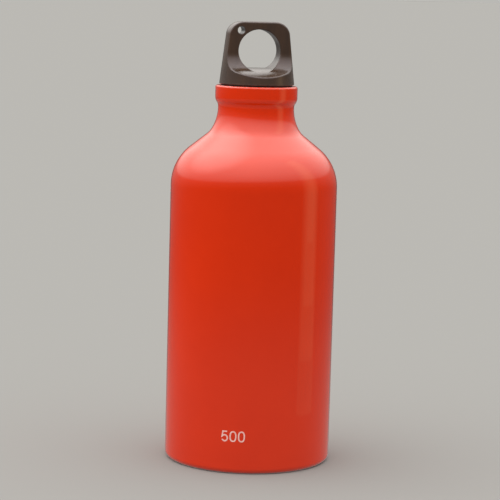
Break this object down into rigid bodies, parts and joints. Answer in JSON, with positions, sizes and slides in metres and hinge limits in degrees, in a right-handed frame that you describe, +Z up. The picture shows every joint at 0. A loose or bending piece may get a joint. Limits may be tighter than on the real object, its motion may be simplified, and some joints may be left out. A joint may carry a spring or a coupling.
{
  "type": "camping fuel bottle",
  "caption": "Lacquered aluminium fuel bottle with domed shoulder and rolled neck collar, closed by a black screw cap with finger-hole loop, lanyard hole, hollow threaded plug and gasket.",
  "frame": {"origin": "centre of the bottle's foot, on the surface that it stands on", "axes": "+Z up along the bottle's axis; the closed cap's flat loop lies in the XZ plane, with its finger hole along Y and its lanyard hole on the -X side"},
  "size_m": [0.073, 0.073, 0.1926],
  "materials": {
    "lacquered_aluminium": "gloss",
    "bare_aluminium": "satin",
    "gasket_rubber": "matte",
    "cap_plastic": "gloss",
    "plug_plastic": "satin"
  },
  "bodies": {
    "bottle": {"bottle_shell": "lacquered_aluminium", "neck_insert": "bare_aluminium"},
    "seal": {"cap_gasket": "gasket_rubber"},
    "cap": {"cap_handle": "cap_plastic", "cap_plug": "plug_plastic"}
  },
  "joints": [
    {"name": "cap_lift", "type": "slide", "parent": "bottle", "child": "seal", "axis": [0, 0, 1], "range_m": [0, 0.012]},
    {"name": "cap_turn", "type": "hinge", "parent": "seal", "child": "cap", "pos_m": [0, 0, 0.1654], "axis": [0, 0, 1], "range_deg": [0, 1440]}
  ],
  "couplings": [
    {"joint": "cap_lift", "follows": "cap_turn", "m_per_rad": 0.00047746}
  ]
}
